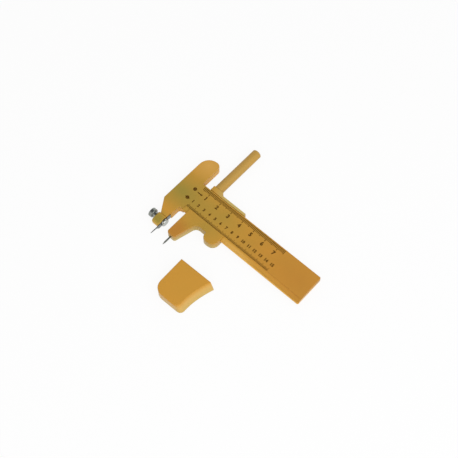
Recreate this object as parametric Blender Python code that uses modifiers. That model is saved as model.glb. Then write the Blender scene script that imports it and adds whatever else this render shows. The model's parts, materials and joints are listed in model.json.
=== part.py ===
"""Caliper-style compass circle cutter, with its safety cap lying beside it.

X runs along the beam from the blade, whose plane is X = 0, towards the beam's free end. Y runs along the
needle and the twirling handle, towards the handle, with Y = 0 on the beam's middle line. Z is up from the
table that the tool lies on. All sizes are in metres.
"""

from math import atan2, ceil, cos, pi, radians, sin, tan

import bmesh
import bpy
from mathutils import Vector

MM = 0.001

# Clearances between pieces
SLIDE_GAP = 0.25 * MM
SEAT_GAP = 0.10 * MM
BORE_GAP = 0.08 * MM
GIB_GAP = 0.15 * MM

# Head and beam, one moulding
BODY_THICKNESS = 6.8 * MM
BEAM_THICKNESS = 4.2 * MM
BEAM_WIDTH = 23.0 * MM
BEAM_END = 104.3 * MM
BEAM_CORNER = 1.0 * MM
HEAD_LEFT = 11.9 * MM
HEAD_RIGHT = 0.6 * MM
HEEL = 2.7 * MM
LOBE_HEIGHT = 18.7 * MM
LOBE_CREST = 0.3 * MM
LOBE_INNER_RADIUS = 3.6 * MM
LOBE_FILLET = 1.0 * MM
JAW_FILLET = 2.0 * MM
TAPER_DROP = 1.8 * MM
TAPER_CORNER = 1.2 * MM
REBATE_WIDTH = 3.1 * MM
REBATE_DEPTH = 0.9 * MM
GROOVE_DEPTH = 1.2 * MM
GROOVE_HEIGHT = 1.5 * MM
MOULD_EDGE = 0.4 * MM

# Blade, its clamp and the boss that carries them
BLADE_THICKNESS = 0.4 * MM
BLADE_WIDTH = 4.0 * MM
BLADE_LENGTH = 18.7 * MM
BLADE_POINT = 7.2 * MM
BLADE_NECK = 5.4 * MM
BLADE_NECK_WIDTH = 1.5 * MM
BLADE_TIP = 0.3 * MM
BLADE_GRIND = 0.15 * MM
BLADE_STOP = 8.3 * MM
CLAMP_DROP = 14.5 * MM
CLAMP_TRAVEL = 0.75 * MM
BOSS_LENGTH = 6.4 * MM
BOSS_REACH = 5.2 * MM
BOSS_STEP = 0.15 * MM
BOSS_ROUND = 2.4 * MM
BOSS_EDGE = 0.9 * MM
BOSS_ROOT = 2.6 * MM
NECK_WIDTH = 5.1 * MM
STUD_HEAD_RADIUS = 3.05 * MM
STUD_FLANGE_RADIUS = 2.7 * MM
STUD_HEAD_REACH = 1.3 * MM
STUD_FLANGE = 1.1 * MM
STUD_EDGE = 0.4 * MM
SHANK_RADIUS = 1.45 * MM
SHANK_RECESS = 0.3 * MM
WASHER_RADIUS = 2.6 * MM
WASHER_THICKNESS = 0.5 * MM
NUT_RADIUS = 3.35 * MM
NUT_RIM = 2.8 * MM
NUT_HUB = 1.6 * MM
NUT_HUB_RADIUS = 2.3 * MM
NUT_EDGE = 0.3 * MM
KNURL_COUNT = 24
KNURL_DEPTH = 0.22 * MM

# Slider, the saddle on the beam
NEEDLE_SETTING = 10.8 * MM
SLIDER_LEFT = 3.4 * MM
SLIDER_RIGHT = 27.0 * MM
SLIDER_PROUD = 0.1 * MM
RAIL_WALL = 1.85 * MM
LOWER_WALL = 2.4 * MM
TONGUE_REACH = 1.0 * MM
NEEDLE_JAW_LENGTH = 16.9 * MM
NEEDLE_JAW_ROOT = 7.7 * MM
NEEDLE_JAW_TIP = 3.2 * MM
NEEDLE_JAW_CORNER = 1.8 * MM
NEEDLE_JAW_FILLET = 4.0 * MM
THUMB_WIDTH = 10.6 * MM
THUMB_REACH = 4.9 * MM
THUMB_INNER_RADIUS = 3.6 * MM
THUMB_OUTER_RADIUS = 5.2 * MM
THUMB_FILLET = 1.0 * MM
HANDLE_BOSS_HEIGHT = 2.1 * MM
HANDLE_BOSS_RIGHT = 5.1 * MM
HANDLE_BOSS_CORNER = 0.8 * MM

# Handle, needle and friction spring
HANDLE_RADIUS = 3.38 * MM
HANDLE_LENGTH = 40.0 * MM
HANDLE_EDGE = 0.5 * MM
SPIGOT_RADIUS = 1.6 * MM
SPIGOT_LENGTH = 3.4 * MM
NEEDLE_RADIUS = 0.6 * MM
NEEDLE_SEAT = 8.6 * MM
NEEDLE_OUT = 7.6 * MM
NEEDLE_POINT = 2.2 * MM
NEEDLE_TIP_RADIUS = 0.1 * MM
GIB_LENGTH = 15.4 * MM
GIB_HEIGHT = 2.2 * MM
GIB_THICKNESS = 0.25 * MM
GIB_POCKET_DEPTH = 0.95 * MM
GIB_OFFSET = 16.5 * MM

# Safety cap, taken off
CAP_MOUTH_X = 40.8 * MM
CAP_MOUTH_Y = -39.2 * MM
CAP_TURN = radians(1.3)
CAP_LENGTH = 27.2 * MM
CAP_HEIGHT = 8.7 * MM
CAP_WALL = 1.0 * MM
CAP_LEFT = 11.7 * MM
CAP_RIGHT = 15.1 * MM
CAP_FLARE = 4.6 * MM
CAP_FLARE_POWER = 1.7
CAP_FLARE_LENGTH = 21.0 * MM
CAP_LEAN = 2.8 * MM
CAP_HEEL_RADIUS = 7.0 * MM
CAP_TOE_RADIUS = 3.5 * MM
CAP_EDGE = 0.6 * MM

# Facets
ARC_STEP = radians(15)
TURN_STEPS = 32
CAP_ARC_STEPS = 6
CUT_OVERRUN = 2.0 * MM
WELD = 1e-7

# Levels and places that follow from the sizes above
AXIS_Z = BODY_THICKNESS / 2
BEAM_HALF = BEAM_WIDTH / 2
BEAM_UNDERSIDE = BODY_THICKNESS - BEAM_THICKNESS
REBATE_FLOOR = BODY_THICKNESS - REBATE_DEPTH
GROOVE_Z = (BEAM_UNDERSIDE + BODY_THICKNESS) / 2
HEEL_X = HEAD_RIGHT + HEEL
LOBE_OUTER_RADIUS = HEAD_LEFT + HEAD_RIGHT - LOBE_CREST - LOBE_INNER_RADIUS
BLADE_SEAT_X = -(BLADE_THICKNESS / 2 + SEAT_GAP)
BLADE_STOP_Y = -(BEAM_HALF + BLADE_STOP)
CLAMP_Y = -(BEAM_HALF + CLAMP_DROP)
BOSS_FACE_X = BLADE_SEAT_X - BOSS_LENGTH
BOSS_END_Y = CLAMP_Y - BOSS_REACH
BOSS_ROOT_Y = CLAMP_Y + BOSS_ROOT
STUD_WINDOW_RIGHT = BLADE_THICKNESS / 2 + SEAT_GAP
STUD_WINDOW_LEFT = BLADE_SEAT_X - CLAMP_TRAVEL
STUD_HEAD_LEFT = STUD_WINDOW_LEFT - STUD_FLANGE
STUD_HEAD_RIGHT = STUD_WINDOW_RIGHT + STUD_HEAD_REACH
COUNTERBORE_X = STUD_HEAD_LEFT - SEAT_GAP
WASHER_X = BOSS_FACE_X - SEAT_GAP - WASHER_THICKNESS
NUT_HUB_X = WASHER_X - SEAT_GAP
NUT_RIM_X = NUT_HUB_X - NUT_HUB
NUT_END_X = NUT_RIM_X - NUT_RIM
SLIDER_TOP = BODY_THICKNESS + SLIDER_PROUD
CHANNEL_HALF = BEAM_HALF + SLIDE_GAP
RAIL_Y = CHANNEL_HALF + RAIL_WALL
HANDLE_SEAT_Y = RAIL_Y + HANDLE_BOSS_HEIGHT
LOWER_Y = -(CHANNEL_HALF + LOWER_WALL)
NEEDLE_JAW_Y = LOWER_Y - NEEDLE_JAW_LENGTH
LIP_EDGE_Y = -(BEAM_HALF - REBATE_WIDTH) - SLIDE_GAP
GIB_Z = (BEAM_UNDERSIDE + REBATE_FLOOR) / 2

# Object rotations that lay local Z along a world axis
ALONG_X = (pi / 2, 0, pi / 2)
ALONG_Y = (-pi / 2, 0, 0)


def clear_scene():
    """Remove every object of the scene."""
    for obj in list(bpy.data.objects):
        bpy.data.objects.remove(obj, do_unlink=True)


def new_collection(name):
    """Make a collection under the scene's own."""
    collection = bpy.data.collections.new(name)
    bpy.context.scene.collection.children.link(collection)
    return collection


def linear(channel):
    """Linear value of an sRGB channel from 0 to 255."""
    value = channel / 255
    return value / 12.92 if value <= 0.04045 else ((value + 0.055) / 1.055) ** 2.4


def make_material(name, srgb, roughness, metallic):
    """Principled material of one colour."""
    material = bpy.data.materials.new(name)
    material.use_nodes = True
    shader = material.node_tree.nodes["Principled BSDF"]
    shader.inputs["Base Color"].default_value = (*(linear(channel) for channel in srgb), 1)
    shader.inputs["Roughness"].default_value = roughness
    shader.inputs["Metallic"].default_value = metallic
    return material


def rounded_outline(corners):
    """Closed counter-clockwise outline whose corners (x, y, radius) are arcs."""
    points = []
    for index, (x, y, radius) in enumerate(corners):
        corner = Vector((x, y))
        if radius == 0:
            points.append(corner)
            continue
        before = (Vector(corners[index - 1][:2]) - corner).normalized()
        after = (Vector(corners[(index + 1) % len(corners)][:2]) - corner).normalized()
        half_angle = before.angle(after) / 2
        centre = corner + (before + after).normalized() * (radius / sin(half_angle))
        start = corner + before * (radius / tan(half_angle)) - centre
        side = 1 if before.cross(after) < 0 else -1
        sweep = side * (pi - 2 * half_angle)
        steps = max(2, ceil(abs(sweep) / ARC_STEP))
        first = atan2(start.y, start.x)
        for step in range(steps + 1):
            angle = first + sweep * step / steps
            points.append(centre + radius * Vector((cos(angle), sin(angle))))
    return points


def welded_mesh(obj):
    """Closed mesh of an object as it is evaluated, with loose caps welded and flat faces merged."""
    depsgraph = bpy.context.evaluated_depsgraph_get()
    mesh = bpy.data.meshes.new_from_object(obj.evaluated_get(depsgraph))
    bm = bmesh.new()
    bm.from_mesh(mesh)
    bmesh.ops.remove_doubles(bm, verts=bm.verts, dist=WELD)
    bmesh.ops.dissolve_limit(bm, angle_limit=radians(0.1), verts=bm.verts, edges=bm.edges)
    bmesh.ops.recalc_face_normals(bm, faces=bm.faces)
    bm.to_mesh(mesh)
    bm.free()
    return mesh


def flat_piece(name, outline, thickness, collection):
    """Plate of an outline in local XY, from local Z = 0 up to its thickness."""
    curve = bpy.data.curves.new(name, "CURVE")
    curve.dimensions = "2D"
    curve.fill_mode = "BOTH"
    curve.extrude = thickness / 2
    spline = curve.splines.new("POLY")
    spline.points.add(len(outline) - 1)
    spline.use_cyclic_u = True
    for point, (x, y) in zip(spline.points, outline):
        point.co = (x, y, 0, 1)
    holder = bpy.data.objects.new(name, curve)
    bpy.context.scene.collection.objects.link(holder)
    mesh = welded_mesh(holder)
    bpy.data.objects.remove(holder, do_unlink=True)
    for vertex in mesh.vertices:
        vertex.co.z += thickness / 2
    mesh.name = name
    obj = bpy.data.objects.new(name, mesh)
    collection.objects.link(obj)
    return obj


def turned_piece(name, profile, collection):
    """Body turned about local Z from a profile of (radius, height), listed from its top down."""
    mesh = bpy.data.meshes.new(name)
    edges = [(index, index + 1) for index in range(len(profile) - 1)]
    mesh.from_pydata([(radius, 0, height) for radius, height in profile], edges, [])
    obj = bpy.data.objects.new(name, mesh)
    collection.objects.link(obj)
    screw = obj.modifiers.new("turn", "SCREW")
    screw.axis = "Z"
    screw.steps = TURN_STEPS
    screw.render_steps = TURN_STEPS
    screw.use_merge_vertices = True
    screw.merge_threshold = WELD
    screw.use_smooth_shade = True
    return obj


def box_piece(name, low, high, collection):
    """Box between two corners, in its own frame."""
    mesh = bpy.data.meshes.new(name)
    bm = bmesh.new()
    bmesh.ops.create_cube(bm, size=1)
    size = Vector(high) - Vector(low)
    bmesh.ops.scale(bm, vec=size, verts=bm.verts)
    bmesh.ops.translate(bm, vec=(Vector(high) + Vector(low)) / 2, verts=bm.verts)
    bm.to_mesh(mesh)
    bm.free()
    obj = bpy.data.objects.new(name, mesh)
    collection.objects.link(obj)
    return obj


def round_piece(name, radius, bottom, top, collection):
    """Cylinder along local Z."""
    mesh = bpy.data.meshes.new(name)
    bm = bmesh.new()
    bmesh.ops.create_cone(bm, cap_ends=True, segments=TURN_STEPS, radius1=radius, radius2=radius, depth=top - bottom)
    bmesh.ops.translate(bm, vec=(0, 0, (top + bottom) / 2), verts=bm.verts)
    bm.to_mesh(mesh)
    bm.free()
    obj = bpy.data.objects.new(name, mesh)
    collection.objects.link(obj)
    return obj


def round_edges(obj, width, segments=2):
    """Round the edges of a moulding that turn by more than 40 degrees."""
    bevel = obj.modifiers.new("edges", "BEVEL")
    bevel.width = width
    bevel.segments = segments
    bevel.limit_method = "ANGLE"
    bevel.angle_limit = radians(40)


def combine(obj, other, operation):
    """Cut or join another object into this one and make the other a guide."""
    other.hide_render = True
    other.display_type = "WIRE"
    boolean = obj.modifiers.new(other.name, "BOOLEAN")
    boolean.operation = operation
    boolean.object = other
    boolean.solver = "EXACT"


def place(obj, location, rotation=(0, 0, 0), parent=None):
    """Set an object's place, in its parent's frame where it has one."""
    obj.parent = parent
    obj.location = location
    obj.rotation_euler = rotation


def pivot(name, location):
    """Empty that carries the pieces of one moving group."""
    empty = bpy.data.objects.new(name, None)
    empty.empty_display_size = BODY_THICKNESS
    empty.location = location
    bpy.context.scene.collection.objects.link(empty)
    return empty


def finish(obj, material, smooth=False):
    """Give a piece its material and, if it is round, smooth shading."""
    obj.data.materials.append(material)
    if smooth:
        obj.data.shade_smooth()
        obj.data.set_sharp_from_angle(angle=radians(35))


def build_beam(parts, cutters, plastic):
    """Beam with the finger lobe, the tapered blade jaw and the clamp boss."""
    taper_y = -(BEAM_HALF + TAPER_DROP)
    outline = rounded_outline([
        (BEAM_END, -BEAM_HALF, BEAM_CORNER),
        (BEAM_END, BEAM_HALF, BEAM_CORNER),
        (HEAD_RIGHT, BEAM_HALF, LOBE_FILLET),
        (HEAD_RIGHT, BEAM_HALF + LOBE_HEIGHT, LOBE_INNER_RADIUS),
        (-HEAD_LEFT, BEAM_HALF + LOBE_HEIGHT, LOBE_OUTER_RADIUS),
        (-HEAD_LEFT, taper_y, TAPER_CORNER),
        (BLADE_SEAT_X - NECK_WIDTH, BOSS_ROOT_Y, 0),
        (BLADE_SEAT_X, BOSS_ROOT_Y, 0),
        (BLADE_SEAT_X, BLADE_STOP_Y, 0),
        (HEAD_RIGHT, BLADE_STOP_Y, 0),
        (HEAD_RIGHT, -BEAM_HALF, JAW_FILLET),
    ])
    beam = flat_piece("beam", outline, BODY_THICKNESS, parts)
    round_edges(beam, MOULD_EDGE)

    boss_section = rounded_outline([
        (BOSS_END_Y, BOSS_STEP, BOSS_ROUND),
        (BOSS_ROOT_Y + BOSS_STEP, BOSS_STEP, 0),
        (BOSS_ROOT_Y + BOSS_STEP, BODY_THICKNESS - BOSS_STEP, 0),
        (BOSS_END_Y, BODY_THICKNESS - BOSS_STEP, BOSS_ROUND),
    ])
    boss = flat_piece("clamp_boss", boss_section, BOSS_LENGTH, cutters)
    place(boss, (BOSS_FACE_X, 0, 0), ALONG_X)
    round_edges(boss, BOSS_EDGE)
    combine(beam, boss, "UNION")

    beyond = BEAM_END + CUT_OVERRUN
    outside = BEAM_HALF + CUT_OVERRUN
    underside = box_piece(
        "beam_underside", (HEEL_X, -outside, -CUT_OVERRUN), (beyond, outside, BEAM_UNDERSIDE), cutters)
    rebate = box_piece(
        "lip_rebate", (HEEL_X, -outside, REBATE_FLOOR),
        (beyond, -BEAM_HALF + REBATE_WIDTH, BODY_THICKNESS + CUT_OVERRUN), cutters)
    groove = box_piece(
        "tongue_groove", (HEEL_X, BEAM_HALF - GROOVE_DEPTH, GROOVE_Z - GROOVE_HEIGHT / 2),
        (beyond, outside, GROOVE_Z + GROOVE_HEIGHT / 2), cutters)
    counterbore = round_piece(
        "stud_counterbore", STUD_FLANGE_RADIUS + SEAT_GAP, COUNTERBORE_X, CUT_OVERRUN, cutters)
    shank_hole = round_piece(
        "shank_hole", SHANK_RADIUS + BORE_GAP, BOSS_FACE_X - CUT_OVERRUN, CUT_OVERRUN, cutters)
    for hole in (counterbore, shank_hole):
        place(hole, (0, CLAMP_Y, AXIS_Z), ALONG_X)
    for cutter in (underside, rebate, groove, counterbore, shank_hole):
        combine(beam, cutter, "DIFFERENCE")
    finish(beam, plastic)


def build_blade(parts, steel):
    """Blade on edge against the jaw, with a straight back and a slender point whose edges are ground thin."""
    stop_end = BLADE_STOP_Y - SEAT_GAP
    tip = stop_end - BLADE_LENGTH
    half = BLADE_WIDTH / 2
    outline = [
        Vector((stop_end, -half)),
        Vector((stop_end, half)),
        Vector((tip, half)),
        Vector((tip, half - BLADE_TIP)),
        Vector((tip + BLADE_NECK, half - BLADE_NECK_WIDTH)),
        Vector((tip + BLADE_POINT, -half)),
    ]
    blade = flat_piece("blade", outline, BLADE_THICKNESS, parts)
    bm = bmesh.new()
    bm.from_mesh(blade.data)
    ground = []
    for edge in bm.edges:
        run = edge.verts[0].co - edge.verts[1].co
        if abs(run.x) > WELD and abs(run.y) > WELD:
            ground.append(edge)
    bmesh.ops.bevel(bm, geom=ground, offset=BLADE_GRIND, segments=1, affect="EDGES", clamp_overlap=True)
    bm.to_mesh(blade.data)
    bm.free()
    place(blade, (-BLADE_THICKNESS / 2, 0, AXIS_Z), ALONG_X)
    finish(blade, steel)


def build_clamp(parts, cutters, nickel, bright):
    """Slotted stud that draws the blade against the jaw, with its washer and knurled nut."""
    axis = pivot("clamp_axis", (0, CLAMP_Y, AXIS_Z))
    shank_end = NUT_END_X + SHANK_RECESS
    stud = turned_piece("blade_stud", [
        (0, STUD_HEAD_RIGHT),
        (STUD_HEAD_RADIUS - STUD_EDGE, STUD_HEAD_RIGHT),
        (STUD_HEAD_RADIUS, STUD_HEAD_RIGHT - STUD_EDGE),
        (STUD_HEAD_RADIUS, STUD_WINDOW_RIGHT),
        (STUD_FLANGE_RADIUS, STUD_WINDOW_RIGHT),
        (STUD_FLANGE_RADIUS, STUD_HEAD_LEFT),
        (SHANK_RADIUS, STUD_HEAD_LEFT),
        (SHANK_RADIUS, shank_end),
        (0, shank_end),
    ], parts)
    place(stud, (0, 0, 0), ALONG_X, axis)
    window_half = BLADE_WIDTH / 2 + SEAT_GAP
    window = box_piece(
        "blade_window", (-STUD_FLANGE_RADIUS - CUT_OVERRUN, -window_half, STUD_WINDOW_LEFT),
        (STUD_FLANGE_RADIUS + CUT_OVERRUN, window_half, STUD_WINDOW_RIGHT), cutters)
    place(window, (0, 0, 0), ALONG_X, axis)
    combine(stud, window, "DIFFERENCE")
    finish(stud, bright)

    washer = turned_piece("clamp_washer", [
        (SHANK_RADIUS + BORE_GAP, WASHER_X),
        (SHANK_RADIUS + BORE_GAP, WASHER_X + WASHER_THICKNESS),
        (WASHER_RADIUS, WASHER_X + WASHER_THICKNESS),
        (WASHER_RADIUS, WASHER_X),
        (SHANK_RADIUS + BORE_GAP, WASHER_X),
    ], parts)
    place(washer, (0, 0, 0), ALONG_X, axis)
    finish(washer, bright)

    rim_outline = []
    for tooth in range(KNURL_COUNT):
        for share, radius in ((0, NUT_RADIUS - KNURL_DEPTH), (0.5, NUT_RADIUS)):
            angle = 2 * pi * (tooth + share) / KNURL_COUNT
            rim_outline.append(Vector((radius * cos(angle), radius * sin(angle))))
    nut = flat_piece("clamp_nut", rim_outline, NUT_RIM, parts)
    place(nut, (NUT_END_X, 0, 0), ALONG_X, axis)
    round_edges(nut, NUT_EDGE, segments=1)
    hub = round_piece("nut_hub", NUT_HUB_RADIUS, NUT_END_X + NUT_RIM / 2, NUT_HUB_X, cutters)
    bore = round_piece("nut_bore", SHANK_RADIUS + BORE_GAP, NUT_END_X - CUT_OVERRUN, NUT_HUB_X + CUT_OVERRUN, cutters)
    for guide, operation in ((hub, "UNION"), (bore, "DIFFERENCE")):
        place(guide, (0, 0, 0), ALONG_X, axis)
        combine(nut, guide, operation)
    finish(nut, nickel)


def build_slider(parts, cutters, carriage, plastic):
    """Saddle with a lip in the beam's rebate, a tongue in its groove, the needle jaw and the thumb rest."""
    thumb_left = SLIDER_RIGHT - THUMB_WIDTH
    thumb_end = LOWER_Y - THUMB_REACH
    outline = rounded_outline([
        (-SLIDER_LEFT, HANDLE_SEAT_Y, HANDLE_BOSS_CORNER),
        (-SLIDER_LEFT, NEEDLE_JAW_Y, NEEDLE_JAW_CORNER),
        (NEEDLE_JAW_TIP, NEEDLE_JAW_Y, NEEDLE_JAW_CORNER),
        (NEEDLE_JAW_ROOT, LOWER_Y, NEEDLE_JAW_FILLET),
        (thumb_left, LOWER_Y, THUMB_FILLET),
        (thumb_left, thumb_end, THUMB_INNER_RADIUS),
        (SLIDER_RIGHT, thumb_end, THUMB_OUTER_RADIUS),
        (SLIDER_RIGHT, RAIL_Y, HANDLE_BOSS_CORNER),
        (HANDLE_BOSS_RIGHT, RAIL_Y, HANDLE_BOSS_CORNER),
        (HANDLE_BOSS_RIGHT, HANDLE_SEAT_Y, HANDLE_BOSS_CORNER),
    ])
    slider = flat_piece("slider", outline, SLIDER_TOP, parts)
    place(slider, (0, 0, -AXIS_Z), parent=carriage)
    round_edges(slider, MOULD_EDGE)

    floor = BEAM_UNDERSIDE - SLIDE_GAP
    lip = REBATE_FLOOR + SLIDE_GAP
    above = SLIDER_TOP + CUT_OVERRUN
    tongue_half = GROOVE_HEIGHT / 2 - SLIDE_GAP
    tongue_y = CHANNEL_HALF - TONGUE_REACH
    section = [
        Vector((-CHANNEL_HALF, floor)),
        Vector((CHANNEL_HALF, floor)),
        Vector((CHANNEL_HALF, GROOVE_Z - tongue_half)),
        Vector((tongue_y, GROOVE_Z - tongue_half)),
        Vector((tongue_y, GROOVE_Z + tongue_half)),
        Vector((CHANNEL_HALF, GROOVE_Z + tongue_half)),
        Vector((CHANNEL_HALF, above)),
        Vector((LIP_EDGE_Y, above)),
        Vector((LIP_EDGE_Y, lip)),
        Vector((-CHANNEL_HALF, lip)),
    ]
    length = SLIDER_LEFT + SLIDER_RIGHT + 2 * CUT_OVERRUN
    channel = flat_piece("beam_channel", section, length, cutters)
    place(channel, (-SLIDER_LEFT - CUT_OVERRUN, 0, -AXIS_Z), ALONG_X, carriage)

    pocket_half = GIB_LENGTH / 2 + SLIDE_GAP
    pocket_rise = GIB_HEIGHT / 2 + GIB_GAP
    pocket = box_piece(
        "gib_pocket", (GIB_OFFSET - pocket_half, -CHANNEL_HALF - GIB_POCKET_DEPTH, GIB_Z - pocket_rise),
        (GIB_OFFSET + pocket_half, -CHANNEL_HALF + CUT_OVERRUN, GIB_Z + pocket_rise), cutters)
    place(pocket, (0, 0, -AXIS_Z), parent=carriage)

    spigot_floor = HANDLE_SEAT_Y - SPIGOT_LENGTH - SEAT_GAP
    spigot_hole = round_piece(
        "spigot_hole", SPIGOT_RADIUS + BORE_GAP, spigot_floor, HANDLE_SEAT_Y + CUT_OVERRUN, cutters)
    needle_hole = round_piece(
        "needle_hole", NEEDLE_RADIUS + BORE_GAP, NEEDLE_JAW_Y - CUT_OVERRUN,
        NEEDLE_JAW_Y + NEEDLE_SEAT + SEAT_GAP, cutters)
    for hole in (spigot_hole, needle_hole):
        place(hole, (0, 0, 0), ALONG_Y, carriage)
    for cutter in (channel, pocket, spigot_hole, needle_hole):
        combine(slider, cutter, "DIFFERENCE")
    finish(slider, plastic)


def build_handle(parts, carriage, plastic):
    """Round twirling handle, seated on the slider's boss by its spigot."""
    seat = HANDLE_SEAT_Y + SEAT_GAP
    top = seat + HANDLE_LENGTH
    handle = turned_piece("handle_rod", [
        (0, top),
        (HANDLE_RADIUS - HANDLE_EDGE, top),
        (HANDLE_RADIUS, top - HANDLE_EDGE),
        (HANDLE_RADIUS, seat),
        (SPIGOT_RADIUS, seat),
        (SPIGOT_RADIUS, HANDLE_SEAT_Y - SPIGOT_LENGTH),
        (0, HANDLE_SEAT_Y - SPIGOT_LENGTH),
    ], parts)
    place(handle, (0, 0, 0), ALONG_Y, carriage)
    finish(handle, plastic)


def build_needle(parts, carriage, steel):
    """Centre needle, pressed into the needle jaw."""
    point = NEEDLE_JAW_Y - NEEDLE_OUT
    needle = turned_piece("needle", [
        (0, NEEDLE_JAW_Y + NEEDLE_SEAT),
        (NEEDLE_RADIUS, NEEDLE_JAW_Y + NEEDLE_SEAT),
        (NEEDLE_RADIUS, point + NEEDLE_POINT),
        (NEEDLE_TIP_RADIUS, point),
        (0, point),
    ], parts)
    place(needle, (0, 0, 0), ALONG_Y, carriage)
    finish(needle, steel)


def build_gib_spring(parts, carriage, spring_steel):
    """Bowed leaf spring in the slider's lower wall that rubs on the beam's edge."""
    end_y = -CHANNEL_HALF - GIB_POCKET_DEPTH + SEAT_GAP
    crown_y = -BEAM_HALF - SEAT_GAP
    bow = crown_y - end_y - GIB_THICKNESS
    steps = 16
    outer = []
    for step in range(steps + 1):
        share = 2 * step / steps - 1
        outer.append(Vector((GIB_OFFSET + share * GIB_LENGTH / 2, end_y + bow * (1 - share * share))))
    inner = [point + Vector((0, GIB_THICKNESS)) for point in reversed(outer)]
    spring = flat_piece("gib_spring", outer + inner, GIB_HEIGHT, parts)
    place(spring, (0, 0, GIB_Z - GIB_HEIGHT / 2 - AXIS_Z), parent=carriage)
    finish(spring, spring_steel)


def cap_outline(level, inset, overrun):
    """Outline of the cap at a height, drawn in from its walls and run out past its mouth.

    The left side is straight and upright. The right side flares towards the mouth and leans in with height.
    """
    left = -CAP_LEFT + inset
    right = CAP_RIGHT - CAP_LEAN * (level / CAP_HEIGHT - 0.5) - inset
    end = -CAP_LENGTH + inset
    points = [Vector((left, overrun))]
    for centre_x, radius, first in (
        (left + CAP_HEEL_RADIUS - inset, CAP_HEEL_RADIUS - inset, pi),
        (right - CAP_FLARE - CAP_TOE_RADIUS + inset, CAP_TOE_RADIUS - inset, 1.5 * pi),
    ):
        for step in range(CAP_ARC_STEPS + 1):
            angle = first + 0.5 * pi * step / CAP_ARC_STEPS
            points.append(Vector((centre_x + radius * cos(angle), end + radius + radius * sin(angle))))
    for step in range(CAP_ARC_STEPS + 1):
        run = CAP_FLARE_LENGTH * (1 - step / CAP_ARC_STEPS)
        flare = CAP_FLARE * (1 - run / CAP_FLARE_LENGTH) ** CAP_FLARE_POWER
        points.append(Vector((right - CAP_FLARE + flare, -run)))
    points.append(Vector((right, overrun)))
    return points


def cap_solid(name, bottom, top, inset, overrun, collection):
    """Block between the cap's outlines at two heights."""
    mesh = bpy.data.meshes.new(name)
    bm = bmesh.new()
    lower = [bm.verts.new((x, y, bottom)) for x, y in cap_outline(bottom, inset, overrun)]
    base = bm.faces.new(lower)
    raised = bmesh.ops.extrude_face_region(bm, geom=[base], use_keep_orig=True)
    upper_face = next(item for item in raised["geom"] if isinstance(item, bmesh.types.BMFace))
    for vert, (x, y) in zip(upper_face.verts, cap_outline(top, inset, overrun)):
        vert.co = (x, y, top)
    bmesh.ops.remove_doubles(bm, verts=bm.verts, dist=WELD)
    bmesh.ops.recalc_face_normals(bm, faces=bm.faces)
    bm.to_mesh(mesh)
    bm.free()
    obj = bpy.data.objects.new(name, mesh)
    collection.objects.link(obj)
    return obj


def build_cap(parts, cutters, plastic):
    """Hollow safety cap with a flared, leaning side, open at its mouth."""
    beside = pivot("cap_place", (CAP_MOUTH_X, CAP_MOUTH_Y, 0))
    beside.rotation_euler = (0, 0, CAP_TURN)
    cap = cap_solid("safety_cap", 0, CAP_HEIGHT, 0, 0, parts)
    place(cap, (0, 0, 0), parent=beside)
    round_edges(cap, CAP_EDGE)
    cavity = cap_solid("cap_cavity", CAP_WALL, CAP_HEIGHT - CAP_WALL, CAP_WALL, CUT_OVERRUN, cutters)
    place(cavity, (0, 0, 0), parent=beside)
    combine(cap, cavity, "DIFFERENCE")
    finish(cap, plastic)


def main():
    """Build the tool and its cap."""
    clear_scene()
    parts = new_collection("circle_cutter")
    cutters = new_collection("cutters")
    body_plastic = make_material("ochre_abs_body", (200, 147, 52), 0.42, 0.0)
    slider_plastic = make_material("ochre_abs_slider", (198, 143, 50), 0.42, 0.0)
    handle_plastic = make_material("ochre_abs_handle", (203, 152, 60), 0.40, 0.0)
    cap_plastic = make_material("ochre_abs_cap", (199, 148, 56), 0.44, 0.0)
    nickel = make_material("nickel_plated_nut", (190, 190, 184), 0.24, 1.0)
    bright = make_material("nickel_plated_stud", (198, 198, 194), 0.20, 1.0)
    blade_steel = make_material("ground_blade_steel", (150, 152, 154), 0.28, 1.0)
    needle_steel = make_material("needle_steel", (160, 161, 160), 0.22, 1.0)
    spring_steel = make_material("spring_steel", (142, 140, 134), 0.35, 1.0)
    carriage = pivot("carriage", (NEEDLE_SETTING, 0, AXIS_Z))
    build_beam(parts, cutters, body_plastic)
    build_blade(parts, blade_steel)
    build_clamp(parts, cutters, nickel, bright)
    build_slider(parts, cutters, carriage, slider_plastic)
    build_handle(parts, carriage, handle_plastic)
    build_needle(parts, carriage, needle_steel)
    build_gib_spring(parts, carriage, spring_steel)
    build_cap(parts, cutters, cap_plastic)


main()
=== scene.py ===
"""Looks of a caliper-style compass circle cutter and its safety cap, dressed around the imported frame.

X runs along the beam from the blade's plane, Y along the needle towards the twirling handle and Z up from
the table. Lengths are in metres, and only the places of tints and ejector marks are in millimetres. The
pieces are smoothed copies of the frame's own solids, and the printed scale, the mould marks and every
finish are made here.
"""

from __future__ import annotations

import json
import logging
import math
from dataclasses import dataclass
from enum import Enum
from typing import Any

import bmesh
import bpy
from mathutils import Matrix, Vector

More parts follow.
